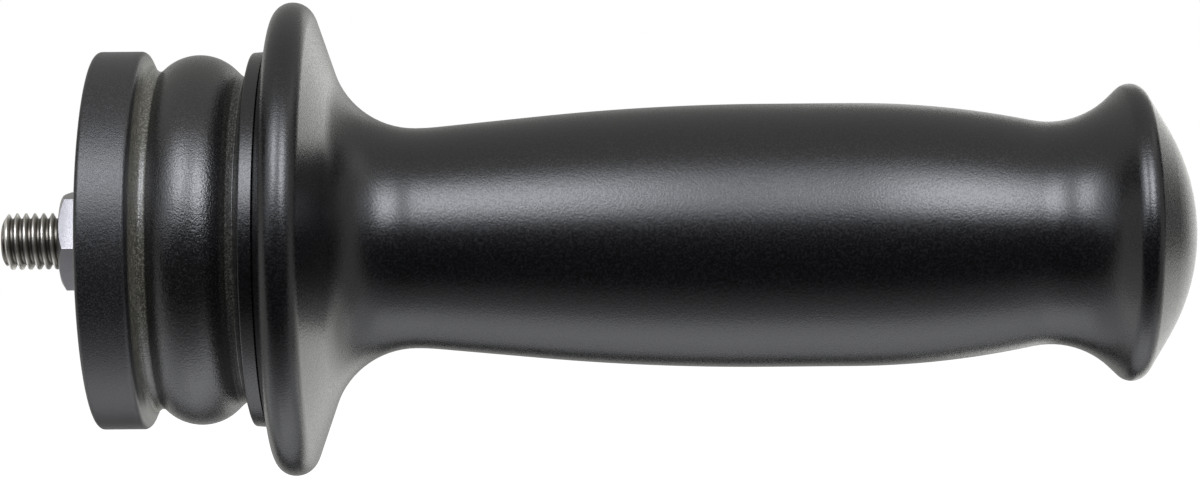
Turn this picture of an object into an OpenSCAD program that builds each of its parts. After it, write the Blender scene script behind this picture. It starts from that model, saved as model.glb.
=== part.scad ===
// Side handle for a hand-held power tool, with a rubber vibration damper.
// The axis is +X: the threaded stud points to -X and the rounded end of the grip to +X.
// The origin is on the axis, at the front face of the lock nut, which seats on the tool.

/* [Stud and fasteners] */
// Outer diameter of the thread
thread_d = 8; // [6:0.5:9]
// Pitch of the thread
thread_pitch = 1.25; // [0.75:0.25:1.5]
// How far the stud stands out in front of the lock nut
stud_reach = 8.55; // [6:0.05:30]
// Length of the chamfer on each end of the stud
stud_chamfer = 0.9; // [0.5:0.1:1.4]
// Step from the thread out to the plain shank that runs through the damper
shoulder_w = 1; // [0.75:0.25:2]
// Width across the flats of the hexagon that sits in the front disc
collar_af = 17; // [15:0.5:22]
// Thickness of that hexagon
collar_h = 4.6; // [3:0.1:5.5]
// Width of the fillet between the hexagon and the shank
collar_fillet = 1.5; // [0.5:0.1:2]
// Width across the flats of both nuts
nut_af = 13; // [12:0.5:15]
// Height of the lock nut
nut_h = 5; // [4:0.1:8]
// Angle of the cone that chamfers the corners of the nuts
nut_chamfer_deg = 32; // [20:1:40]
// How far the lock nut is turned about the axis
nut_turn = 38.3; // [0:0.1:60]
// Outer radius of the stop washer
washer_r = 9.5; // [8.5:0.1:10]
// Thickness of the stop washer
washer_h = 1.6; // [1:0.1:3]
// Height of the hexagon of the stop nut
stop_nut_h = 6.5; // [5:0.1:8]
// Height of the clinched collar that grips the thread of the stop nut
clinch_h = 1.5; // [1:0.1:2.5]
// How far the stud stands out behind the stop nut
stud_tail = 1.5; // [1.5:0.1:4]

/* [Front disc] */
// Radius of the front disc
disc_r = 26.75; // [25:0.05:36]
// Thickness of the front disc
disc_w = 8; // [7.5:0.1:12]
// Rounding of the front edge
disc_front_round = 0.7; // [0.2:0.1:2]
// Rounding of the rear edge
disc_rear_round = 0.9; // [0.2:0.1:2]
// Length of the slope from the rear edge down to the groove
disc_slope_w = 1.25; // [0.6:0.05:2]
// Radius of the raised pad under the lock nut
pad_r = 9.5; // [8.5:0.1:12]
// Height of that pad
pad_h = 0.2; // [0.1:0.1:1]
// How deep the hexagon of the stud lies below the back face
collar_recess = 0.5; // [0.1:0.1:1]

/* [Damper] */
// Length of the rubber between disc and hub
damper_w = 12.55; // [11:0.05:18]
// Radius of the crest of the bulge
bulge_r = 26.15; // [25:0.05:27]
// How far the crest lies behind the middle of the rubber
bulge_shift = 0.15; // [0:0.05:0.4]
// Radius at the bottom of the groove behind the disc
front_groove_r = 23.9; // [22.5:0.05:24.4]
// Width of the floor of that groove
front_floor_w = 1.25; // [0.9:0.05:2]
// Radius at the bottom of the groove in front of the hub
rear_groove_r = 23.1; // [22:0.05:24]
// Radius of the opening in each end face of the rubber
damper_bore_r = 13; // [12:0.1:14]
// Thickness of each end of the rubber round that opening
damper_foot_w = 1.6; // [1:0.1:3]
// Deepest radius of the hollow inside the rubber
damper_hollow_r = 18.5; // [16:0.1:20]

/* [Rear hub] */
// Thickness of the hub plate at its rim
plate_w = 3.1; // [2.5:0.1:5]
// Radius of the hub plate at its back edge
plate_r = 26.6; // [25.5:0.05:32]
// Length of the slope from the groove up to the rim of the plate
plate_slope_w = 1.2; // [0.8:0.1:1.6]
// How much lower the front edge of the rim is than its back edge
plate_bevel_h = 0.15; // [0.1:0.05:0.6]
// Room round the shank in which the hub tilts
shank_gap = 2; // [1.5:0.1:3]
// Thickness of the wall that the stop washer pulls against
stop_wall_w = 5.45; // [4.5:0.05:7]
// Free travel between that wall and the stop washer
stop_gap = 1; // [0.8:0.1:2]
// Room round the stop washer in which it tilts
chamber_gap = 1.7; // [1.3:0.1:2.5]
// Wall of the hub neck round that room
hub_wall = 1.8; // [1.5:0.1:3]
// Length of the hub neck, which is pressed into the grip
hub_neck_w = 15.7; // [14.5:0.1:20]
// Number of barbs that lock the hub neck in the grip
barb_count = 3; // [2:1:4]
// Height of a barb
barb_h = 0.35; // [0.2:0.05:0.6]
// Width of a barb
barb_w = 1.6; // [1:0.1:2]

/* [Grip] */
// Length of the grip
grip_len = 131.45; // [115:0.05:170]
// Radius of the hand guard flange
flange_r = 33.5; // [30:0.1:45]
// Width of the flange between its two rim corners
flange_w = 4.45; // [3.6:0.05:8]
// How far the front face of the flange leans back from its foot to its rim
flange_lean = 1.75; // [1.3:0.05:3]
// Angle by which the back face of the flange leans back
flange_back_deg = 19.2; // [12:0.1:25]
// Rounding of the front corner of the rim
rim_front_round = 2.7; // [0.5:0.1:2.8]
// Rounding of the rear corner of the rim
rim_rear_round = 3; // [0.5:0.1:3.5]
// Rounding between the flange and the neck
root_round = 12.1; // [6:0.1:13]
// How far inside the edge of the hub plate the front face starts to lean back
foot_inset = 2.1; // [1:0.1:4]
// Wall of the grip round the hub neck
neck_wall = 2.55; // [2.2:0.05:5]
// Distance from the foot of the grip to the place where the neck starts to widen
neck_w = 22.6; // [20:0.1:28]
// Radius of the belly that fills the palm
belly_r = 18.65; // [17.5:0.05:22]
// Distance from the foot of the grip to the front of the belly
belly_start = 54.6; // [45:0.1:60]
// Distance from the back of the belly to the waist
palm_end_w = 15.45; // [12:0.05:20]
// Radius of the waist in front of the end knob
waist_r = 15.75; // [14.5:0.05:17]
// Rounding of the waist
waist_round = 12.4; // [6:0.1:12.6]
// Distance from the waist to the crest of the knob
knob_rise_w = 11.45; // [10.5:0.05:13]
// Radius of the end knob
knob_r = 21.05; // [19:0.05:23]
// Rounding of the crest of the knob
knob_round = 2.3; // [1:0.1:3]
// Distance from the crest of the knob to the end of the grip
cap_h = 9.25; // [8:0.05:12]
// Radius at which the end of the grip turns flat
cap_r = 8.3; // [4:0.1:12]
// Rounding of that turn
cap_round = 30; // [10:1:40]
// Step at the bottom of the seat for the hub neck
seat_step = 1; // [0.6:0.1:2]
// Radius of the core bore at its closed end
core_end_r = 10.5; // [8:0.1:11.5]
// Rounding at the closed end of the core bore
core_end_round = 4; // [1:0.5:6]
// Thickness of the end of the grip behind the core bore
end_wall = 8; // [6:0.5:30]

/* [Hidden] */

$fn = 96;

// Largest distance between an arc and its chords
chord_gap = 0.008;
// How far a cut runs past the face that it opens
overrun = 1;

// Clearance of a pressed fit, and of a screw in its hole
press_gap = 0.05;
screw_gap = 0.25;
// Clearance between the end of the hub neck and the bottom of its seat
seat_gap = 0.5;

// Slopes, in degrees from the axis
bulge_slope = 44;
waist_fall = 11;
knob_rise = 44;
knob_fall = 58.5;

// Roundings and small steps
tip_round = 0.3;
fillet_round = 1.2;
nut_corner_cut = 0.2;
nut_sink = 0.3;
clinch_inset = 0.9;
clinch_taper = 0.2;
clinch_round = 0.6;
groove_step = 0.1;
groove_round = 1.2;
hollow_round = 3.5;
foot_round = 0.8;
rear_foot_h = 0.35;
rear_foot_round = 0.5;
plate_round = 0.35;
chamber_round = 0.5;
hub_lead = 0.6;
barb_lead = 0.7;
neck_round = 30;
belly_front_round = 335;
belly_back_round = 125;

thread_r = thread_d / 2;
// Where an inner and an outer thread are in mesh, they meet at the pitch radius
mesh_r = thread_r - 3 * sqrt(3) / 16 * thread_pitch;
shank_r = thread_r + shoulder_w;

// Stations along the axis, from the tool to the end of the grip
disc_seat = nut_h;
disc_face = disc_seat + pad_h;
disc_back = disc_face + disc_w;
collar_back = disc_back - collar_recess;
collar_front = collar_back - collar_h;
hub_front = disc_back + damper_w;
grip_foot = hub_front + plate_w;
hub_neck_end = grip_foot + hub_neck_w;
seat_end = hub_neck_end + seat_gap;
stop_wall_back = hub_front + stop_wall_w;
washer_front = stop_wall_back + stop_gap;
washer_back = washer_front + washer_h;
stop_nut_back = washer_back + stop_nut_h;
clinch_back = stop_nut_back + clinch_h;
stud_end = clinch_back + stud_tail;
grip_end = grip_foot + grip_len;
knob_at = grip_end - cap_h;
waist_at = knob_at - knob_rise_w;
belly_end = waist_at - palm_end_w;

// Radii that follow from the pieces inside
chamber_r = washer_r + chamber_gap;
hub_neck_r = chamber_r + hub_wall;
seat_r = hub_neck_r + press_gap;
neck_r = seat_r + neck_wall;

// The crest of the bulge, half its width at the groove floor, and the arc that fits between
bulge_mid = disc_back + damper_w / 2 + bulge_shift;
bulge_half_w = bulge_mid - disc_back - front_floor_w;
bulge_round = (bulge_half_w * tan(bulge_slope) - bulge_r + front_groove_r) / (1 / cos(bulge_slope) - 1);

// Outlines are lists of corners [x, radius, rounding]; a missing rounding is a sharp corner

function place(p) = [p[0], p[1]];
function rounding(p) = len(p) > 2 ? p[2] : 0;
function unit(v) = v / norm(v);
function reverse(list) = [for (i = [len(list) - 1:-1:0]) list[i]];

// Half of the angle inside the corner number i
function half_angle(c, i) =
    acos(unit(place(c[i - 1]) - place(c[i])) * unit(place(c[i + 1]) - place(c[i]))) / 2;

// Distance from a corner to the ends of its arc, before and after it is fitted to its sides
function wanted_reach(c, i) =
    i <= 0 || i >= len(c) - 1 ? 0 : rounding(c[i]) / tan(half_angle(c, i));
function side_share(c, i) =
    let (both = wanted_reach(c, i - 1) + wanted_reach(c, i))
    both == 0 ? 1 : min(1, norm(place(c[i]) - place(c[i - 1])) / both);
function reach(c, i) = wanted_reach(c, i) * min(side_share(c, i), side_share(c, i + 1));

// Points of the tangent arc that rounds the corner number i
function corner_points(c, i) =
    let (here = place(c[i]))
    i == 0 || i == len(c) - 1 || rounding(c[i]) == 0 ? [here] :
    let (
        to_last = unit(place(c[i - 1]) - here),
        to_next = unit(place(c[i + 1]) - here),
        half = half_angle(c, i),
        side = reach(c, i),
        radius = side * tan(half),
        centre = here + unit(to_last + to_next) * radius / sin(half),
        from = here + to_last * side - centre,
        to = here + to_next * side - centre,
        start = atan2(from[1], from[0]),
        turn = (atan2(to[1], to[0]) - start + 540) % 360 - 180,
        steps = max(2, ceil(abs(turn) / (2 * acos(1 - min(1, chord_gap / radius)))))
    )
    [for (k = [0:steps]) centre + radius * [cos(start + turn * k / steps), sin(start + turn * k / steps)]];

function rounded(c) = [for (i = [0:len(c) - 1]) each corner_points(c, i)];

// Corner whose rounding leaves a crest or a waist of radius r at x, between two slopes
function crest(x, r, round, rise, fall) =
    [x + round * sin((fall - rise) / 2) / cos((rise + fall) / 2),
     r - round + round * cos((fall - rise) / 2) / cos((rise + fall) / 2),
     round];
function waist(x, r, round, fall, rise) =
    [x + round * sin((rise - fall) / 2) / cos((rise + fall) / 2),
     r + round - round * cos((rise - fall) / 2) / cos((rise + fall) / 2),
     round];

// Solid of revolution about the X axis
module turned(corners) {
    rotate([0, 90, 0])
        rotate_extrude()
            polygon([for (p = rounded(corners)) [p[1], p[0]]]);
}

// Hexagonal prism on the X axis
module hexagon(af, from, to, turn = 0) {
    translate([from, 0, 0])
        rotate([0, 90, 0])
            rotate([0, 0, turn])
                cylinder(h = to - from, r = af / sqrt(3), $fn = 6);
}

// Nut with chamfered corners and a countersunk thread, its chamfered face at x = front
module nut(front, height, turn, both_faces = false) {
    back = front + height;
    corner = nut_af / sqrt(3);
    flat = nut_af / 2 - nut_corner_cut;
    chamfer = (corner - flat) * tan(nut_chamfer_deg);
    back_cut = both_faces ? chamfer : 0;
    back_r = both_faces ? flat : corner;
    sink_r = thread_r + nut_sink;
    sink_w = sink_r - mesh_r;
    difference() {
        intersection() {
            hexagon(nut_af, front, back, turn);
            turned([[front, 0], [front, flat], [front + chamfer, corner],
                    [back - back_cut, corner], [back, back_r], [back, 0]]);
        }
        turned([[front - overrun, 0], [front - overrun, sink_r], [front, sink_r],
                [front + sink_w, mesh_r], [back - sink_w, mesh_r],
                [back, sink_r], [back + overrun, sink_r], [back + overrun, 0]]);
    }
}

// Outline of the hub neck from its foot to its end, for the neck itself and, wider, for its seat
function neck_outline(grow = 0) =
    let (pitch = hub_neck_w / (barb_count + 1), r = hub_neck_r + grow)
    [[grip_foot, r],
     for (k = [1:barb_count])
        let (x = grip_foot + pitch * k - barb_w / 2)
        each [[x, r], [x + barb_w * barb_lead, r + barb_h], [x + barb_w, r]]];

module threaded_stud() {
    tip_r = mesh_r - stud_chamfer;
    color("silver") {
        turned([[-stud_reach, 0], [-stud_reach, tip_r, tip_round],
                [stud_chamfer - stud_reach, thread_r], [0, thread_r], [0, mesh_r],
                [disc_seat, mesh_r], [disc_seat, thread_r], [collar_back, thread_r],
                [collar_back, shank_r + collar_fillet],
                [collar_back + collar_fillet, shank_r, fillet_round], [washer_front, shank_r],
                [washer_front, thread_r], [washer_back, thread_r], [washer_back, mesh_r],
                [clinch_back, mesh_r], [clinch_back, thread_r],
                [stud_end - stud_chamfer, thread_r], [stud_end, tip_r], [stud_end, 0]]);
        hexagon(collar_af, collar_front, collar_back);
    }
}

module lock_nut() {
    color("gainsboro") nut(0, nut_h, nut_turn);
}

module front_disc() {
    bore_r = thread_r + screw_gap;
    color("dimgray")
    difference() {
        turned([[disc_seat, bore_r], [disc_seat, pad_r], [disc_face, pad_r + pad_h],
                [disc_face, disc_r, disc_front_round],
                [disc_back - disc_slope_w, disc_r, disc_rear_round],
                [disc_back, front_groove_r + groove_step], [disc_back, bore_r]]);
        hexagon(collar_af + 2 * press_gap, collar_front, disc_back + overrun);
    }
}

module damper() {
    top = crest(bulge_mid, bulge_r, bulge_round, bulge_slope, bulge_slope);
    rear_foot_r = rear_groove_r + rear_foot_h;
    rear_foot = bulge_mid + (top[1] - rear_foot_r) / tan(bulge_slope);
    color("black")
    turned([[disc_back, damper_bore_r], [disc_back, front_groove_r],
            [bulge_mid - bulge_half_w, front_groove_r, groove_round], top,
            [rear_foot, rear_foot_r, rear_foot_round],
            [hub_front, rear_groove_r], [hub_front, damper_bore_r],
            [hub_front - damper_foot_w, damper_bore_r, foot_round],
            [bulge_mid, damper_hollow_r, hollow_round],
            [disc_back + damper_foot_w, damper_bore_r, foot_round]]);
}

module rear_hub() {
    tilt_bore_r = shank_r + shank_gap;
    color("dimgray")
    turned([[hub_front, tilt_bore_r], [hub_front, rear_groove_r],
            [hub_front + plate_slope_w, plate_r - plate_bevel_h, plate_round], [grip_foot, plate_r],
            each neck_outline(),
            [hub_neck_end - hub_lead, hub_neck_r], [hub_neck_end, hub_neck_r - hub_lead],
            [hub_neck_end, chamber_r], [stop_wall_back, chamber_r, chamber_round],
            [stop_wall_back, tilt_bore_r]]);
}

module stop_washer() {
    bore_r = thread_r + screw_gap;
    color("silver")
    turned([[washer_front, bore_r], [washer_front, washer_r],
            [washer_back, washer_r], [washer_back, bore_r]]);
}

module stop_nut() {
    clinch_r = nut_af / 2 - clinch_inset;
    clinch_root = stop_nut_back - overrun;
    color("gainsboro") {
        nut(washer_back, stop_nut_h, 0, both_faces = true);
        turned([[clinch_root, mesh_r], [clinch_root, clinch_r], [stop_nut_back, clinch_r],
                [clinch_back, clinch_r - clinch_taper, clinch_round], [clinch_back, mesh_r]]);
    }
}

module grip() {
    function at(distance) = grip_foot + distance;
    rim_end = flange_lean + flange_w;
    core_end = grip_end - end_wall;
    color("darkslategray")
    turned([[grip_foot, plate_r - foot_inset],
            [at(flange_lean), flange_r, rim_front_round],
            [at(rim_end), flange_r, rim_rear_round],
            [at(rim_end + (flange_r - neck_r) * tan(flange_back_deg)), neck_r, root_round],
            [at(neck_w), neck_r, neck_round],
            [at(belly_start), belly_r, belly_front_round],
            [belly_end, belly_r, belly_back_round],
            waist(waist_at, waist_r, waist_round, waist_fall, knob_rise),
            crest(knob_at, knob_r, knob_round, knob_rise, knob_fall),
            [grip_end, cap_r, cap_round], [grip_end, 0],
            [core_end, 0], [core_end, core_end_r, core_end_round],
            [seat_end, seat_r - seat_step], [seat_end, seat_r],
            each reverse(neck_outline(press_gap))]);
}

threaded_stud();
lock_nut();
front_disc();
damper();
rear_hub();
stop_washer();
stop_nut();
grip();
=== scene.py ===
import math

import bmesh
import bpy
from mathutils import Matrix, Vector


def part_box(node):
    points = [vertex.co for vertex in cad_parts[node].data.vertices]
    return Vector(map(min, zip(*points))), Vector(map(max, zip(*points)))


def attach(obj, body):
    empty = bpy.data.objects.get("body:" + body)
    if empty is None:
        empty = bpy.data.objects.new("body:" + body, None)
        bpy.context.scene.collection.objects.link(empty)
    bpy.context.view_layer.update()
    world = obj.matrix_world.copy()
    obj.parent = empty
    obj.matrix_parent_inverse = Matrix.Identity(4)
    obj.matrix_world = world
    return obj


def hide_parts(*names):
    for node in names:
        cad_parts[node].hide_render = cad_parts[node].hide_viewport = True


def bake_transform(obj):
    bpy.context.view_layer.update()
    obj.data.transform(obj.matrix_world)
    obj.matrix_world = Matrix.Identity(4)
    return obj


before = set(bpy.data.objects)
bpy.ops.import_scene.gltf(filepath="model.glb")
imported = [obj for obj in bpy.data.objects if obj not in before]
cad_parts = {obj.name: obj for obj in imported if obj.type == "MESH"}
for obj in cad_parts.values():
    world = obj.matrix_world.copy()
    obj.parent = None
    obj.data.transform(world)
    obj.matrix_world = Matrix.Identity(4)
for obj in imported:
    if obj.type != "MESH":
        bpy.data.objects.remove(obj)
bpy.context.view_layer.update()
print("frame loaded:", ", ".join(sorted(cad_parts)))

# Sizes are in millimetres along the handle's axis, +X from the stud to the end of the grip
mm = 0.001


def spanOf(node):
    low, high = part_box(node)  # where a node starts and ends along the axis, and its radius
    return low.x / mm, high.x / mm, high.z / mm


# Camera first: level, a little below the axis, with the tilt of the photograph
cameraShape = {
    "lens": 103.64,
    "sensor": 36.0,
    "clip": (0.01, 20.0),  # metres
    "distance": 490.0,
    "alongAxis": 75.99,
    "height": -0.47,
    "roll": 0.48,
}


def addCamera(shape):
    data = bpy.data.cameras.new("camera")
    data.lens = shape["lens"]
    data.sensor_width = shape["sensor"]
    data.clip_start, data.clip_end = shape["clip"]
    camera = bpy.data.objects.new("camera", data)
    roll = math.radians(shape["roll"])
    right = Vector((math.cos(roll), 0, -math.sin(roll)))
    up = Vector((math.sin(roll), 0, math.cos(roll)))
    turn = Matrix((right, up, Vector((0, -1, 0)))).transposed()
    place = Vector((shape["alongAxis"], -shape["distance"], shape["height"])) * mm
    camera.matrix_world = Matrix.Translation(place) @ turn.to_4x4()
    bpy.context.scene.collection.objects.link(camera)
    bpy.context.scene.camera = camera


addCamera(cameraShape)
print("camera placed")


# Outlines: corners (x, radius, rounding), joined by straight lines and tangent arcs

outlineDetail = {
    "arcStep": 5.0,  # degrees between the points of an arc
    "longest": 2.0,  # longest edge along an arc
    "hold": 0.12,  # an extra point this close to each end of a straight line keeps the shading crisp
    "around": 180,  # faces round the axis
    "sharp": 30,  # edges that bend more than this many degrees stay sharp
    "merge": 1e-4,  # points closer than this become one
    "degenerate": 1e-5,  # edges shorter than this go
}


def crestCorner(x, radius, rounding, rise, fall):
    rise, fall = math.radians(rise), math.radians(fall)
    spread = math.cos((rise + fall) / 2)
    return (x + rounding * math.sin((fall - rise) / 2) / spread,
            radius - rounding + rounding * math.cos((fall - rise) / 2) / spread, rounding)


def waistCorner(x, radius, rounding, fall, rise):
    rise, fall = math.radians(rise), math.radians(fall)
    spread = math.cos((rise + fall) / 2)
    return (x + rounding * math.sin((rise - fall) / 2) / spread,
            radius + rounding - rounding * math.cos((rise - fall) / 2) / spread, rounding)


def drawLine(bm, start, end):
    hold = outlineDetail["hold"] * mm
    length = (end - start.co).length
    stops = [hold, length - hold] if length > 4 * hold else []  # a short line needs none
    direction = (end - start.co).normalized()
    last = start
    for stop in [start.co + direction * s for s in stops] + [end]:
        vert = bm.verts.new(stop)
        bm.edges.new((last, vert))
        last = vert
    return last


def drawArc(bm, start, end, centre):
    a, b = start.co - centre, end - centre
    angle = a.angle(b) * math.copysign(1, a.cross(b).y)
    steps = max(2, math.ceil(abs(math.degrees(angle)) / outlineDetail["arcStep"]),
                math.ceil(abs(angle) * a.length / (outlineDetail["longest"] * mm)))
    made = bmesh.ops.spin(bm, geom=[start], cent=centre, axis=(0, 1, 0), angle=angle, steps=steps)
    return next(g for g in made["geom_last"] if isinstance(g, bmesh.types.BMVert))


def drawOutline(bm, corners, closed):
    points = [Vector((c[0] * mm, 0, c[1] * mm)) for c in corners]
    rounds = [c[2] * mm if len(c) > 2 else 0 for c in corners]
    count = len(points)
    reach, halves = [], []
    for i, here in enumerate(points):
        before, after = points[i - 1] - here, points[(i + 1) % count] - here
        half = before.angle(after) / 2
        ends = not closed and i in (0, count - 1)
        halves.append(half)
        reach.append(rounds[i] / math.tan(half) if rounds[i] and not ends else 0)
    share = []  # an arc is made smaller where two of them don't fit on the line between them
    for i in range(count):
        both = reach[i - 1] + reach[i]
        share.append(min(1, (points[i] - points[i - 1]).length / both) if both else 1)
    first = last = None
    for i, here in enumerate(points):
        side = reach[i] * min(share[i], share[(i + 1) % count])
        toBefore = (points[i - 1] - here).normalized()
        toAfter = (points[(i + 1) % count] - here).normalized()
        start = here + toBefore * side
        if last is None:
            first = last = bm.verts.new(start)
        else:
            last = drawLine(bm, last, start)
        if side:
            centre = here + (toBefore + toAfter).normalized() * side / math.cos(halves[i])
            last = drawArc(bm, last, here + toAfter * side, centre)
    if closed:
        bm.edges.new((drawLine(bm, last, first.co), first))
    bmesh.ops.remove_doubles(bm, verts=bm.verts, dist=outlineDetail["merge"] * mm)


def turnOutline(bm, around):
    bmesh.ops.spin(bm, geom=bm.verts[:] + bm.edges[:], cent=(0, 0, 0), axis=(1, 0, 0),
                   angle=2 * math.pi, steps=around, use_merge=True)
    bmesh.ops.remove_doubles(bm, verts=bm.verts, dist=outlineDetail["merge"] * mm)
    bmesh.ops.dissolve_degenerate(bm, dist=outlineDetail["degenerate"] * mm, edges=bm.edges)
    bmesh.ops.recalc_face_normals(bm, faces=bm.faces)


def addTurned(bm, corners, closed=True, around=outlineDetail["around"]):
    part = bmesh.new()
    drawOutline(part, corners, closed)
    turnOutline(part, around)
    addPart(bm, part)


def addPart(bm, part):
    mesh = bpy.data.meshes.new("part")
    part.to_mesh(mesh)
    part.free()
    bm.from_mesh(mesh)
    bpy.data.meshes.remove(mesh)


def finishPiece(name, bm, material, sharp=outlineDetail["sharp"]):
    limit = math.radians(sharp)
    for face in bm.faces:
        face.smooth = True
    for edge in bm.edges:
        edge.smooth = edge.is_manifold and edge.calc_face_angle() < limit
    mesh = bpy.data.meshes.new(name)
    bm.to_mesh(mesh)
    bm.free()
    mesh.materials.append(material)
    piece = bpy.data.objects.new(name, mesh)
    bpy.context.scene.collection.objects.link(piece)
    return piece


# Shader groups shared by several materials

def newGroup(name, inputs, outputs):
    group = bpy.data.node_groups.new(name, "ShaderNodeTree")
    for label, value in inputs.items():
        socket = group.interface.new_socket(label, in_out="INPUT", socket_type="NodeSocketFloat")
        socket.default_value = value
    for label, kind in outputs.items():
        group.interface.new_socket(label, in_out="OUTPUT", socket_type=kind)
    enter = group.nodes.new("NodeGroupInput")
    leave = group.nodes.new("NodeGroupOutput")
    return group, enter, leave


def addMath(tree, operation, *values):
    node = tree.nodes.new("ShaderNodeMath")
    node.operation = operation
    for socket, value in zip(node.inputs, values):
        if isinstance(value, (int, float)):
            socket.default_value = value
        else:
            tree.links.new(value, socket)
    return node.outputs[0]


def addRange(tree, value, fromLow, fromHigh, toLow, toHigh, smooth=True):
    node = tree.nodes.new("ShaderNodeMapRange")
    node.interpolation_type = "SMOOTHSTEP" if smooth else "LINEAR"
    for label, given in zip(("Value", "From Min", "From Max", "To Min", "To Max"),
                            (value, fromLow, fromHigh, toLow, toHigh)):
        if isinstance(given, (int, float)):
            node.inputs[label].default_value = given
        else:
            tree.links.new(given, node.inputs[label])
    return node.outputs[0]


def addNoise(tree, vector, size, detail, rough):
    node = tree.nodes.new("ShaderNodeTexNoise")
    node.inputs["Detail"].default_value = detail
    node.inputs["Roughness"].default_value = rough
    tree.links.new(vector, node.inputs["Vector"])
    if isinstance(size, (int, float)):
        node.inputs["Scale"].default_value = 1 / (size * mm)
    else:
        tree.links.new(addMath(tree, "DIVIDE", 1 / mm, size), node.inputs["Scale"])
    return node.outputs["Fac"]


grainDetail = {
    "sizes": {"Grain Size": 0.2, "Blotch Size": 0.9, "Blotch Share": 0.25},
    "grain": (2.5, 0.6),  # detail and roughness of the noise
    "blotch": (2.0, 0.5),
    "speckle": (0.42, 0.68),  # heights of the grain between which its tips turn light
}


def makeMouldGrain(detail):
    # Fine spark-eroded grain of a moulding tool, over a faint larger unevenness
    group, enter, leave = newGroup(
        "mouldGrain", detail["sizes"], {"Height": "NodeSocketFloat", "Speckle": "NodeSocketFloat"})
    place = group.nodes.new("ShaderNodeTexCoord").outputs["Object"]
    grain = addNoise(group, place, enter.outputs["Grain Size"], *detail["grain"])
    blotch = addNoise(group, place, enter.outputs["Blotch Size"], *detail["blotch"])
    share = enter.outputs["Blotch Share"]
    height = addMath(group, "ADD", grain, addMath(group, "MULTIPLY", blotch, share))
    speckle = addRange(group, grain, *detail["speckle"], 0.0, 1.0)
    group.links.new(height, leave.inputs["Height"])
    group.links.new(speckle, leave.inputs["Speckle"])
    return group


def makeAxisBand():
    # 1 between two places along the axis and 0 elsewhere
    group, enter, leave = newGroup(
        "axisBand", {"Start": 0.0, "End": 1.0, "Fade": 0.3}, {"Mask": "NodeSocketFloat"})
    place = group.nodes.new("ShaderNodeTexCoord").outputs["Object"]
    apart = group.nodes.new("ShaderNodeSeparateXYZ")
    group.links.new(place, apart.inputs[0])
    x = addMath(group, "DIVIDE", apart.outputs["X"], mm)
    start, end, fade = (enter.outputs[label] for label in ("Start", "End", "Fade"))
    rise = addRange(group, x, start, addMath(group, "ADD", start, fade), 0.0, 1.0)
    fall = addRange(group, x, addMath(group, "SUBTRACT", end, fade), end, 1.0, 0.0)
    group.links.new(addMath(group, "MULTIPLY", rise, fall), leave.inputs["Mask"])
    return group


def newMaterial(name):
    material = bpy.data.materials.new(name)
    material.use_nodes = True
    tree = material.node_tree
    shader = tree.nodes["Principled BSDF"]
    return material, tree, shader


def placeGroup(tree, group, values):
    node = tree.nodes.new("ShaderNodeGroup")
    node.node_tree = group
    for label, value in values.items():
        node.inputs[label].default_value = value
    return node


def addMix(tree, factor, first, second):
    node = tree.nodes.new("ShaderNodeMix")
    node.data_type = "RGBA"
    tree.links.new(factor, node.inputs["Factor"])
    for socket, value in ((node.inputs["A"], first), (node.inputs["B"], second)):
        if isinstance(value, (tuple, list)):
            socket.default_value = (*value, 1)
        else:
            tree.links.new(value, socket)
    return node.outputs["Result"]


def addBump(tree, height, strength, distance):
    node = tree.nodes.new("ShaderNodeBump")
    node.inputs["Strength"].default_value = strength
    node.inputs["Distance"].default_value = distance * mm
    tree.links.new(height, node.inputs["Height"])
    return node.outputs["Normal"]


# Lighter speckled bands in the grooves beside the bulge, partly a real lighter finish and partly painted
# reflection: start and end along the axis, and colour
grooveSheenAndDust = {
    # the front band is mostly painted reflection: a light olive colour that stands in for the light caught
    # in the groove
    "front": (12.3, 14.6, (0.14, 0.134, 0.104)),
    # the rear band is a little lighter than the black, partly its finish and partly painted reflection
    "rear": (24.4, 26.9, (0.028, 0.028, 0.024)),
    # the seam band is a painted highlight: a thin light line where the hub meets the damper
    "seam": (25.1, 26.4, (0.11, 0.107, 0.095)),
}

# Shared by the three blacks: how far the grain's tips and roots leave their colour and gloss
blackLook = {
    "tones": (0.4, 2.2),
    "sheenAndDustTones": (0.35, 1.3),
    "glossSpread": 0.04,
    "specular": 1.0,
}

nylonLook = {
    "colour": (0.0022, 0.0023, 0.0032),
    "roughness": 0.29,
    "ior": 1.5,
    "grainSize": 0.3,
    "grainDepth": 0.030,
}

discLook = {
    "colour": (0.010, 0.010, 0.0112),
    "roughness": 0.38,
    "ior": 1.52,
    "grainSize": 0.24,
    "grainDepth": 0.045,
}

rubberLook = {
    "colour": (0.006, 0.006, 0.0064),
    "roughness": 0.25,
    "ior": 1.6,
    "grainSize": 0.26,
    "grainDepth": 0.055,
}


def addSpeckled(tree, speckle, colour, tones):
    dark, light = ([channel * tone for channel in colour] for tone in tones)
    return addMix(tree, speckle, dark, light)


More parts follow.
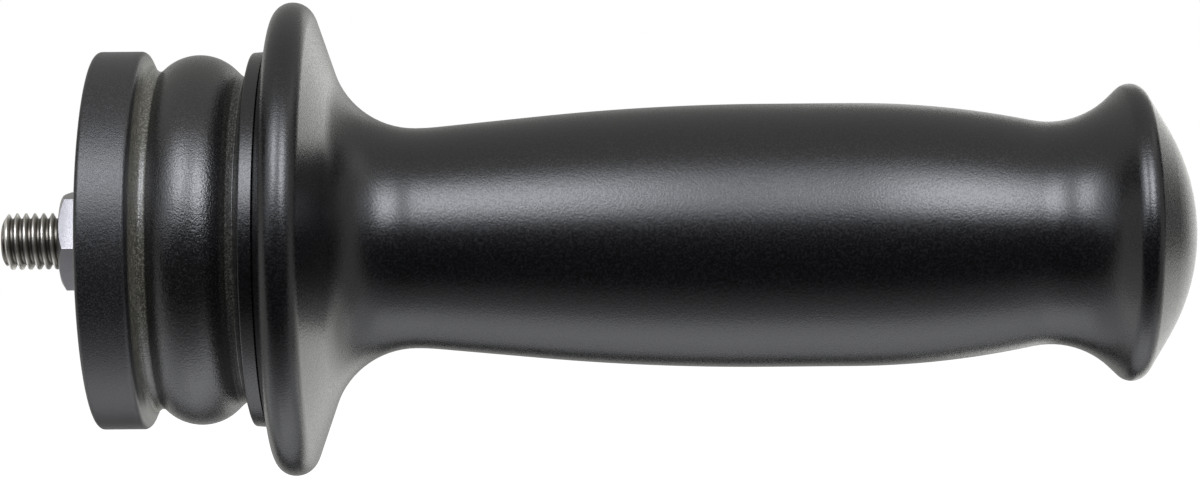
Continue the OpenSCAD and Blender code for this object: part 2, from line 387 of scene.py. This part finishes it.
def makeMouldedBlack(name, look):
    material, tree, shader = newMaterial(name)
    grain = placeGroup(tree, mouldGrain, {"Grain Size": look["grainSize"]})
    speckle = grain.outputs["Speckle"]
    colour = addSpeckled(tree, speckle, look["colour"], blackLook["tones"])
    # The groove bands lay a lighter colour over the black, partly finish and partly painted reflection, with
    # a painted highlight at the seam
    for start, end, sheenAndDustColour in grooveSheenAndDust.values():
        band = placeGroup(tree, axisBand, {"Start": start, "End": end}).outputs["Mask"]
        sheenAndDust = addSpeckled(tree, speckle, sheenAndDustColour, blackLook["sheenAndDustTones"])
        colour = addMix(tree, band, colour, sheenAndDust)
    tree.links.new(colour, shader.inputs["Base Color"])
    low, high = look["roughness"] - blackLook["glossSpread"], look["roughness"] + blackLook["glossSpread"]
    tree.links.new(addRange(tree, speckle, 0.0, 1.0, low, high, False), shader.inputs["Roughness"])
    bump = addBump(tree, grain.outputs["Height"], 1.0, look["grainDepth"])
    tree.links.new(bump, shader.inputs["Normal"])
    shader.inputs["Specular IOR Level"].default_value = blackLook["specular"]
    shader.inputs["IOR"].default_value = look["ior"]
    return material


metalDetail = {
    "grainSize": 0.15,
    "grain": (3.0, 0.6),
    "grainRange": (0.3, 0.7),
    "glossRange": (0.8, 1.25),
    "bumpStrength": 0.25,
    "bumpDepth": 0.01,
    "toneSize": 1.5,
    "tone": (2.0, 0.5),
    "toneDark": 0.9,
}

steelLook = {
    "colour": (0.75, 0.73, 0.68),
    "roughness": 0.36,
    "rootShadeColour": (0.2, 0.187, 0.165),  # painted shade: the roots of the thread are painted darker
    "rootShadeRange": (3.3, 3.95),  # radii between which the painted shade fades and the steel turns light
}

nutLook = {
    "colour": (0.288, 0.283, 0.293),
    "roughness": 0.33,
}

washerLook = {
    "colour": (0.62, 0.62, 0.64),
    "roughness": 0.35,
}


def makeMetal(name, look):
    material, tree, shader = newMaterial(name)
    shader.inputs["Metallic"].default_value = 1
    place = tree.nodes.new("ShaderNodeTexCoord").outputs["Object"]
    fine = addNoise(tree, place, metalDetail["grainSize"], *metalDetail["grain"])
    smooth, rough = (look["roughness"] * share for share in metalDetail["glossRange"])
    gloss = addRange(tree, fine, *metalDetail["grainRange"], smooth, rough)
    tree.links.new(gloss, shader.inputs["Roughness"])
    # Painted shade: the steel is painted darker down in the roots of the thread
    if "rootShadeColour" in look:
        apart = tree.nodes.new("ShaderNodeSeparateXYZ")
        tree.links.new(place, apart.inputs[0])
        y, z = apart.outputs["Y"], apart.outputs["Z"]
        square = addMath(tree, "ADD", addMath(tree, "MULTIPLY", y, y), addMath(tree, "MULTIPLY", z, z))
        radius = addMath(tree, "DIVIDE", addMath(tree, "SQRT", square), mm)
        height = addRange(tree, radius, *look["rootShadeRange"], 0.0, 1.0)
        colour = addMix(tree, height, look["rootShadeColour"], look["colour"])
    else:
        tone = addNoise(tree, place, metalDetail["toneSize"], *metalDetail["tone"])
        darker = [channel * metalDetail["toneDark"] for channel in look["colour"]]
        colour = addMix(tree, tone, darker, look["colour"])
    tree.links.new(colour, shader.inputs["Base Color"])
    bump = addBump(tree, fine, metalDetail["bumpStrength"], metalDetail["bumpDepth"])
    tree.links.new(bump, shader.inputs["Normal"])
    return material


mouldGrain = makeMouldGrain(grainDetail)
axisBand = makeAxisBand()
blackNylon = makeMouldedBlack("blackNylon", nylonLook)
discNylon = makeMouldedBlack("discNylon", discLook)
damperRubber = makeMouldedBlack("damperRubber", rubberLook)
studSteel = makeMetal("studSteel", steelLook)
nutZinc = makeMetal("nutZinc", nutLook)
washerZinc = makeMetal("washerZinc", washerLook)
print("materials made")


# Stud with its rolled thread

studShape = {
    "threadRadius": 4.0,
    "rootRadius": 3.25,
    "pitch": 1.25,
    "crestShare": 0.14,  # share of the pitch that the flat crest takes
    "rootShare": 0.2,
    "firstCrest": -6.6,  # a crest on top of the stud
    "runIn": 1.0,  # how far a thread runs into the part behind it
    "cuts": 2,  # extra edges along each flank, crest and root
    "weld": 1e-3,
    "tipLength": 0.85,
    "tipRadius": 2.6,
    "tipPower": 0.75,
    "around": 96,
    "sharp": 40,
    "shankRadius": 5.0,
    "collarWidth": 17.0,
    "collarHeight": 4.6,
    "collarRecess": 0.5,
    "filletWidth": 1.5,
    "filletRounding": 1.2,
}


def addThread(bm, start, end, tip):
    shape = studShape
    pitch, around = shape["pitch"], shape["around"]
    crest, root = pitch * shape["crestShare"] / 2, pitch * shape["rootShare"] / 2
    part = bmesh.new()
    last = None
    turn = math.floor((start - shape["firstCrest"]) / pitch) - 2
    while shape["firstCrest"] + turn * pitch < end + 2 * pitch:
        x = shape["firstCrest"] + turn * pitch
        for along, radius in ((x - crest, shape["threadRadius"]), (x + crest, shape["threadRadius"]),
                              (x + pitch / 2 - root, shape["rootRadius"]),
                              (x + pitch / 2 + root, shape["rootRadius"])):
            vert = part.verts.new((along * mm, 0, radius * mm))
            if last:
                part.edges.new((last, vert))
            last = vert
        turn += 1
    bmesh.ops.subdivide_edges(part, edges=part.edges, cuts=shape["cuts"])
    # A right-hand thread moves on by one pitch as it turns once about +X
    bmesh.ops.spin(part, geom=part.verts[:] + part.edges[:], cent=(0, 0, 0), axis=(1, 0, 0),
                   dvec=(pitch * mm / around, 0, 0), angle=2 * math.pi, steps=around)
    bmesh.ops.remove_doubles(part, verts=part.verts, dist=shape["weld"] * mm)
    for place, side in ((start, -1), (end, 1)):
        bmesh.ops.bisect_plane(part, geom=part.verts[:] + part.edges[:] + part.faces[:],
                               plane_co=(place * mm, 0, 0), plane_no=(side, 0, 0), clear_outer=True)
    bmesh.ops.holes_fill(part, edges=[e for e in part.edges if e.is_boundary])
    # The end of the stud is rounded down to its flat tip
    for vert in part.verts:
        depth = abs(vert.co.x / mm - tip) / shape["tipLength"]
        radius = math.hypot(vert.co.y, vert.co.z) / mm
        if depth < 1 and radius > 0:
            grown = (shape["threadRadius"] - shape["tipRadius"]) * depth ** shape["tipPower"]
            scale = min(1, (shape["tipRadius"] + grown) / radius)
            vert.co.y *= scale
            vert.co.z *= scale
    bmesh.ops.recalc_face_normals(part, faces=part.faces)
    addPart(bm, part)


def addHexagon(bm, width, start, end, turn=0.0):
    part = bmesh.new()
    bmesh.ops.create_cone(part, segments=6, cap_ends=True, radius1=width / math.sqrt(3) * mm,
                          radius2=width / math.sqrt(3) * mm, depth=(end - start) * mm)
    spot = Matrix.Translation(((start + end) / 2 * mm, 0, 0))
    lay = Matrix.Rotation(math.pi / 2, 4, "Y")
    swing = Matrix.Rotation(math.radians(turn), 4, "Z")
    bmesh.ops.transform(part, matrix=spot @ lay @ swing, verts=part.verts)
    addPart(bm, part)


def makeStud():
    shape = studShape
    tip, tail, _ = spanOf("threaded_stud")
    discBack = spanOf("front_disc")[1]
    washerFront = spanOf("stop_washer")[0]
    collarBack = discBack - shape["collarRecess"]
    collarFront = collarBack - shape["collarHeight"]
    bm = bmesh.new()
    addThread(bm, tip, collarFront + shape["runIn"], tip)
    addThread(bm, washerFront - shape["runIn"], tail, tail)
    shank, fillet = shape["shankRadius"], shape["filletWidth"]
    addTurned(bm, [(collarFront, 0), (collarFront, shank), (collarBack, shank + fillet),
                   (collarBack + fillet, shank, shape["filletRounding"]),
                   (washerFront, shank), (washerFront, 0)],
              closed=False, around=shape["around"])
    addHexagon(bm, shape["collarWidth"], collarFront, collarBack)
    piece = finishPiece("threadedStud", bm, studSteel, shape["sharp"])
    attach(piece, "mount")
    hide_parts("threaded_stud")


makeStud()
print("stud made")


nutShape = {
    "width": 13.0,
    "turn": 38.3,
    "chamferAngle": 32,
    "cornerCut": 0.2,
    "boreRadius": 3.6,
    "sinkRadius": 4.3,
    "around": 96,
    "edgeRounding": 0.12,
    "edgeSegments": 3,
    "edgeAngle": 25,  # edges that bend more than this are rounded
    "edgeOutside": 5.0,  # if they lie further out than this
}


def makeLockNut():
    shape = nutShape
    front, back, _ = spanOf("lock_nut")
    corner = shape["width"] / math.sqrt(3)
    flat = shape["width"] / 2 - shape["cornerCut"]
    bevel = (corner - flat) * math.tan(math.radians(shape["chamferAngle"]))
    bore, sink = shape["boreRadius"], shape["sinkRadius"]
    bm = bmesh.new()
    addTurned(bm, [(front, sink), (front, flat), (front + bevel, corner), (back, corner),
                   (back, sink), (back - (sink - bore), bore), (front + sink - bore, bore)],
              around=shape["around"])
    # The round blank is cut to its six flats
    for k in range(-1, 5):
        angle = math.radians(shape["turn"] + 60 * k)
        away = Vector((0, math.cos(angle), math.sin(angle)))
        cut = bmesh.ops.bisect_plane(bm, geom=bm.verts[:] + bm.edges[:] + bm.faces[:],
                                     plane_co=away * shape["width"] / 2 * mm, plane_no=away,
                                     clear_outer=True)
        bmesh.ops.contextual_create(bm, geom=[g for g in cut["geom_cut"]
                                              if isinstance(g, bmesh.types.BMEdge)])
    bmesh.ops.remove_doubles(bm, verts=bm.verts, dist=outlineDetail["merge"] * mm)
    bmesh.ops.recalc_face_normals(bm, faces=bm.faces)
    sharp = [e for e in bm.edges
             if e.is_manifold and e.calc_face_angle() > math.radians(shape["edgeAngle"])
             and min(math.hypot(v.co.y, v.co.z) for v in e.verts) > shape["edgeOutside"] * mm]
    bmesh.ops.bevel(bm, geom=sharp, offset=shape["edgeRounding"] * mm, offset_type="OFFSET",
                    affect="EDGES", segments=shape["edgeSegments"], profile=0.5, material=-1,
                    clamp_overlap=True)
    piece = finishPiece("lockNut", bm, nutZinc)
    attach(piece, "mount")
    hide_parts("lock_nut")


makeLockNut()
print("lock nut made")


discShape = {
    "boreRadius": 4.25,
    "padRadius": 9.5,
    "padHeight": 0.2,
    "padRounding": 0.08,
    "padFootRounding": 0.1,
    "frontRounding": 0.7,
    "rearRounding": 0.9,
    "slopeWidth": 1.25,
    "cornerWidth": 0.3,  # how far before the back the slope turns into the groove
    "cornerRadius": 24.65,
    "cornerRounding": 1.8,
    "grooveRadius": 24.36,
    "pocketWidth": 17.1,
    "pocketDepth": 5.1,
    "cutBeyond": 1.0,  # how far the pocket's cutter sticks out behind
}


def makeFrontDisc():
    shape = discShape
    seat, back, radius = spanOf("front_disc")
    face = seat + shape["padHeight"]
    bm = bmesh.new()
    addTurned(bm, [(seat, shape["boreRadius"]), (seat, shape["padRadius"], shape["padRounding"]),
                   (face, shape["padRadius"] + shape["padHeight"], shape["padFootRounding"]),
                   (face, radius, shape["frontRounding"]),
                   (back - shape["slopeWidth"], radius, shape["rearRounding"]),
                   (back - shape["cornerWidth"], shape["cornerRadius"], shape["cornerRounding"]),
                   (back, shape["grooveRadius"]), (back, shape["boreRadius"])])
    piece = finishPiece("frontDisc", bm, discNylon)
    cutter = bmesh.new()
    addHexagon(cutter, shape["pocketWidth"], back - shape["pocketDepth"], back + shape["cutBeyond"])
    pocket = finishPiece("pocket", cutter, discNylon)
    cut = piece.modifiers.new("pocket", "BOOLEAN")
    cut.object = pocket
    cut.operation = "DIFFERENCE"
    cut.solver = "EXACT"
    view = bpy.context.evaluated_depsgraph_get()
    piece.data = bpy.data.meshes.new_from_object(piece.evaluated_get(view))
    piece.modifiers.clear()
    bpy.data.objects.remove(pocket)
    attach(piece, "mount")
    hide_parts("front_disc")


makeFrontDisc()
print("front disc made")


damperShape = {
    "seamRadius": 24.36,
    "frontGroove": 23.9,
    "frontTurn": 0.5,
    "frontFloor": 1.25,
    "grooveRounding": 1.2,
    "rearGroove": 23.1,
    "rearFoot": 0.35,
    "rearRounding": 0.5,
    "crestShift": 0.15,
    "slope": 44,
    "boreRadius": 13.0,
    "boreRounding": 0.8,
    "footWidth": 1.6,
    "hollowRadius": 18.5,
    "hollowRounding": 3.5,
    "seamHold": 0.05,  # an extra ring of edges this close to the seam keeps the shading smooth
}


def makeDamper():
    shape = damperShape
    front, back, crestRadius = spanOf("damper")
    crestAt = (front + back) / 2 + shape["crestShift"]
    halfWidth = crestAt - front - shape["frontFloor"]
    slope = math.radians(shape["slope"])
    lift = halfWidth * math.tan(slope) - crestRadius + shape["frontGroove"]
    rounding = lift / (1 / math.cos(slope) - 1)
    top = crestCorner(crestAt, crestRadius, rounding, shape["slope"], shape["slope"])
    footRadius = shape["rearGroove"] + shape["rearFoot"]
    foot = crestAt + (top[1] - footRadius) / math.tan(slope)
    bore, boreRounding = shape["boreRadius"], shape["boreRounding"]
    outline = [(front, bore), (front, shape["seamRadius"]),
               (front + shape["frontTurn"], shape["frontGroove"], shape["grooveRounding"]),
               (crestAt - halfWidth, shape["frontGroove"], shape["grooveRounding"]), top,
               (foot, footRadius, shape["rearRounding"]),
               (back, shape["rearGroove"]), (back, bore),
               (back - shape["footWidth"], bore, boreRounding),
               (crestAt, shape["hollowRadius"], shape["hollowRounding"]),
               (front + shape["footWidth"], bore, boreRounding)]
    # Two halves that meet at the crest
    for name, side, ends, bodies in (
            ("damperFront", 1, (front, crestAt), ("mount", "damper")),
            ("damperRear", -1, (crestAt, back), ("damper", "grip"))):
        bm = bmesh.new()
        addTurned(bm, outline)
        for offset in (shape["seamHold"], 0):
            cut = bmesh.ops.bisect_plane(bm, geom=bm.verts[:] + bm.edges[:] + bm.faces[:],
                                         plane_co=((crestAt - side * offset) * mm, 0, 0),
                                         plane_no=(side, 0, 0), clear_outer=offset == 0)
        rim = [g for g in cut["geom_cut"] if isinstance(g, bmesh.types.BMEdge)]
        bmesh.ops.bridge_loops(bm, edges=rim)
        bmesh.ops.recalc_face_normals(bm, faces=bm.faces)
        piece = finishPiece(name, bm, damperRubber)
        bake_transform(piece)
        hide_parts("damper")


makeDamper()
print("damper made")


neckShape = {
    "radius": 13.0,
    "length": 15.7,
    "barbs": 3,
    "barbWidth": 1.6,
    "barbHeight": 0.35,
    "barbLead": 0.7,  # share of a barb's width that rises
    "seatGap": 0.05,
}


def neckOutline(foot, grow=0.0):
    shape = neckShape
    radius = shape["radius"] + grow
    step = shape["length"] / (shape["barbs"] + 1)
    corners = [(foot, radius)]
    for k in range(1, shape["barbs"] + 1):
        x = foot + step * k - shape["barbWidth"] / 2
        corners += [(x, radius), (x + shape["barbWidth"] * shape["barbLead"], radius + shape["barbHeight"]),
                    (x + shape["barbWidth"], radius)]
    return corners


hubShape = {
    "grooveRadius": 23.1,
    "floorWidth": 0.5,
    "floorRadius": 22.85,
    "floorRounding": 0.15,
    "plateWidth": 3.1,
    "slopeWidth": 1.45,
    "bevelHeight": 0.15,
    "rimRounding": 0.35,
    "backRounding": 0.12,
    "backLean": 0.3,
    "leanStart": 24.5,
    "boreRadius": 7.0,
    "wallWidth": 5.45,
    "chamberRadius": 11.2,
    "chamberRounding": 0.5,
    "lead": 0.6,
}


def makeRearHub():
    shape = hubShape
    front, end, radius = spanOf("rear_hub")
    foot = front + shape["plateWidth"]
    neck, lead = neckShape["radius"], shape["lead"]
    bm = bmesh.new()
    addTurned(bm, [(front, shape["boreRadius"]), (front, shape["grooveRadius"]),
                   (front + shape["floorWidth"], shape["floorRadius"], shape["floorRounding"]),
                   (front + shape["slopeWidth"], radius - shape["bevelHeight"], shape["rimRounding"]),
                   (foot + shape["backLean"], radius, shape["backRounding"]),
                   (foot, shape["leanStart"]), *neckOutline(foot), (end - lead, neck), (end, neck - lead),
                   (end, shape["chamberRadius"]),
                   (front + shape["wallWidth"], shape["chamberRadius"], shape["chamberRounding"]),
                   (front + shape["wallWidth"], shape["boreRadius"])])
    piece = finishPiece("rearHub", bm, blackNylon)
    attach(piece, "grip")
    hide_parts("rear_hub")


makeRearHub()
print("rear hub made")


gripShape = {
    "footRadius": 24.5,
    "flangeLean": 1.75,
    "flangeWidth": 4.45,
    "flangeBackAngle": 19.2,
    "rimFrontRounding": 2.7,
    "rimRearRounding": 3.0,
    "rootRounding": 12.1,
    "neckRadius": 15.6,
    "neckWidth": 22.6,
    "neckRounding": 30,
    "bellyRadius": 18.65,
    "bellyStart": 54.6,
    "bellyFrontRounding": 335,
    "bellyBackRounding": 125,
    "palmEnd": 15.45,
    "waistRadius": 15.75,
    "waistRounding": 12.4,
    "waistFall": 11,
    "knobRise": 44,
    "knobFall": 58.5,
    "knobRiseWidth": 11.45,
    "knobRadius": 21.05,
    "knobRounding": 2.3,
    "capHeight": 9.25,
    "capRadius": 8.3,
    "capRounding": 30,
    "seatGap": 0.5,
    "seatStep": 1.0,
    "coreEndRadius": 10.5,
    "coreEndRounding": 4,
    "endWall": 8,
}


def makeGrip():
    shape = gripShape
    foot, end, flange = spanOf("grip")
    rimEnd = foot + shape["flangeLean"] + shape["flangeWidth"]
    root = rimEnd + (flange - shape["neckRadius"]) * math.tan(math.radians(shape["flangeBackAngle"]))
    knobAt = end - shape["capHeight"]
    waistAt = knobAt - shape["knobRiseWidth"]
    seatEnd = spanOf("rear_hub")[1] + shape["seatGap"]
    seatRadius = neckShape["radius"] + neckShape["seatGap"]
    coreEnd = end - shape["endWall"]
    outline = [(end, 0), (end, shape["capRadius"], shape["capRounding"]),
               crestCorner(knobAt, shape["knobRadius"], shape["knobRounding"],
                           shape["knobRise"], shape["knobFall"]),
               waistCorner(waistAt, shape["waistRadius"], shape["waistRounding"],
                           shape["waistFall"], shape["knobRise"]),
               (waistAt - shape["palmEnd"], shape["bellyRadius"], shape["bellyBackRounding"]),
               (foot + shape["bellyStart"], shape["bellyRadius"], shape["bellyFrontRounding"]),
               (foot + shape["neckWidth"], shape["neckRadius"], shape["neckRounding"]),
               (root, shape["neckRadius"], shape["rootRounding"]),
               (rimEnd, flange, shape["rimRearRounding"]),
               (foot + shape["flangeLean"], flange, shape["rimFrontRounding"]),
               (foot, shape["footRadius"]), *neckOutline(foot, neckShape["seatGap"]),
               (seatEnd, seatRadius), (seatEnd, seatRadius - shape["seatStep"]),
               (coreEnd, shape["coreEndRadius"], shape["coreEndRounding"]), (coreEnd, 0)]
    bm = bmesh.new()
    addTurned(bm, outline, closed=False)
    piece = finishPiece("gripMoulding", bm, blackNylon)
    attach(piece, "grip")
    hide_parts("grip")


makeGrip()
print("grip made")


# The washer and the nut inside the hub keep their CAD shape
for node in ("stop_washer", "stop_nut"):
    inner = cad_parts[node]
    inner.data.materials.clear()
    inner.data.materials.append(washerZinc)


# Studio: pale floor, and soft boxes in a ring round the handle's axis

studioShape = {
    "floorHeight": -95.0,
    "floorSize": 12.0,  # metres
    "floorTone": 0.9,
    "floorRoughness": 0.9,
    "glowAt": (0.35, 1.0),  # the floor's own glow, near the handle and far from it, in metres
    "glow": (0.9, 1.0),
    "panelDistance": 600.0,
    "endDistance": 1500.0,
    "keyColour": (0.91, 0.93, 1.0),
    "bounceColour": (0.95, 0.96, 1.0),
    "backColour": (1.0, 1.0, 0.97),
    "roomLight": 0.02,
}

# Soft boxes along the handle: brightness, its two ends along the axis,
# and its two edges in degrees above the camera's side
keyPanels = {
    "keyLeft": (2.2, -330, 40, 17, 60),
    "keyLeftCore": (3.9, -170, 30, 25, 50),
    "keyMiddle": (1.1, 40, 180, 18, 60),
    "keyRight": (2.4, 180, 560, 18, 60),
    "keyRightCore": (4.0, 200, 500, 22, 48),
    "farLeft": (0.9, -800, -330, 6, 60),
    "farRight": (0.7, 560, 1200, 18, 60),
}

backPanels = {
    "top": (0.35, -800, 900, 60, 150),
    "back": (0.5, -800, 900, 150, 210),
    "backHigh": (0.6, 150, 400, 150, 180),
}

bouncePanels = {
    "bounce": (0.8, -800, 900, -130, -80),
    "bounceCore": (0.4, -100, 400, -110, -80),
    "bounceFront": (0.4, -800, 900, -80, -65),
    "bounceEdge": (0.18, -800, 900, -65, -50),
}

# Soft boxes beyond its ends: brightness, two edges in degrees right of the camera,
# and two edges in degrees up
endPanels = {
    "endRight": (0.3, 64, 106, -35, 50),
    "endRightBack": (0.95, 138, 168, -35, 14),
    "endRightLow": (0.85, 106, 138, -35, -5),
    "endLeft": (0.42, -150, -64, -40, 22),
}


def addFloor(shape):
    bm = bmesh.new()
    bmesh.ops.create_grid(bm, x_segments=1, y_segments=1, size=shape["floorSize"] / 2)
    bmesh.ops.translate(bm, vec=(0, 0, shape["floorHeight"] * mm), verts=bm.verts)
    mesh = bpy.data.meshes.new("floor")
    bm.to_mesh(mesh)
    bm.free()
    floor = bpy.data.objects.new("floor", mesh)
    material, tree, shader = newMaterial("paleFloor")
    shader.inputs["Base Color"].default_value = (shape["floorTone"],) * 3 + (1,)
    shader.inputs["Roughness"].default_value = shape["floorRoughness"]
    shader.inputs["Emission Color"].default_value = (1, 1, 1, 1)
    far = tree.nodes.new("ShaderNodeVectorMath")
    far.operation = "LENGTH"
    tree.links.new(tree.nodes.new("ShaderNodeTexCoord").outputs["Object"], far.inputs[0])
    glow = addRange(tree, far.outputs["Value"], *shape["glowAt"], *shape["glow"])
    tree.links.new(glow, shader.inputs["Emission Strength"])
    mesh.materials.append(material)
    bpy.context.scene.collection.objects.link(floor)
    floor.visible_glossy = floor.visible_diffuse = floor.visible_shadow = False


def addSoftBox(name, brightness, place, across, away, width, height, colour):
    data = bpy.data.lights.new(name, "AREA")
    data.shape = "RECTANGLE"
    data.size, data.size_y = width, height
    data.energy = brightness * math.pi * width * height
    data.color = colour
    light = bpy.data.objects.new(name, data)
    light.location = place
    light.rotation_euler = Matrix((across, away.cross(across), away)).transposed().to_euler()
    light.visible_camera = False
    bpy.context.scene.collection.objects.link(light)


def addPanel(name, colour, brightness, start, end, low, high):
    distance = studioShape["panelDistance"] * mm
    middle = math.radians((low + high) / 2)
    away = Vector((0, -math.cos(middle), math.sin(middle)))
    across = Vector((1, 0, 0))
    height = 2 * distance * math.tan(math.radians((high - low) / 2))
    addSoftBox(name, brightness, across * (start + end) / 2 * mm + away * distance, across, away,
               (end - start) * mm, height, colour)


def addEndPanel(name, colour, brightness, left, right, low, high):
    distance = studioShape["endDistance"] * mm
    aside, up = math.radians((left + right) / 2), math.radians((low + high) / 2)
    away = Vector((math.cos(up) * math.sin(aside), -math.cos(up) * math.cos(aside), math.sin(up)))
    across = Vector((math.cos(aside), math.sin(aside), 0))
    width = 2 * distance * math.cos(up) * math.tan(math.radians((right - left) / 2))
    height = 2 * distance * math.tan(math.radians((high - low) / 2))
    middle = Vector((cameraShape["alongAxis"] * mm, 0, 0))
    addSoftBox(name, brightness, middle + away * distance, across, away, width, height, colour)


def addRoom(shape):
    world = bpy.data.worlds.new("room")
    bpy.context.scene.world = world
    world.use_nodes = True
    tree = world.node_tree
    room = tree.nodes["Background"]
    room.inputs["Color"].default_value = (1, 1, 1, 1)
    # White behind the handle, and nearly dark for all that it reflects
    seen = tree.nodes.new("ShaderNodeLightPath").outputs["Is Camera Ray"]
    tree.links.new(addRange(tree, seen, 0.0, 1.0, shape["roomLight"], 1.0, False), room.inputs["Strength"])


addFloor(studioShape)
for panels, colour in ((keyPanels, "keyColour"), (backPanels, "backColour"), (bouncePanels, "bounceColour")):
    for name, panel in panels.items():
        addPanel(name, studioShape[colour], *panel)
for name, panel in endPanels.items():
    addEndPanel(name, studioShape["backColour"], *panel)
addRoom(studioShape)
bpy.context.scene.view_settings.view_transform = "Standard"
print("studio lit")
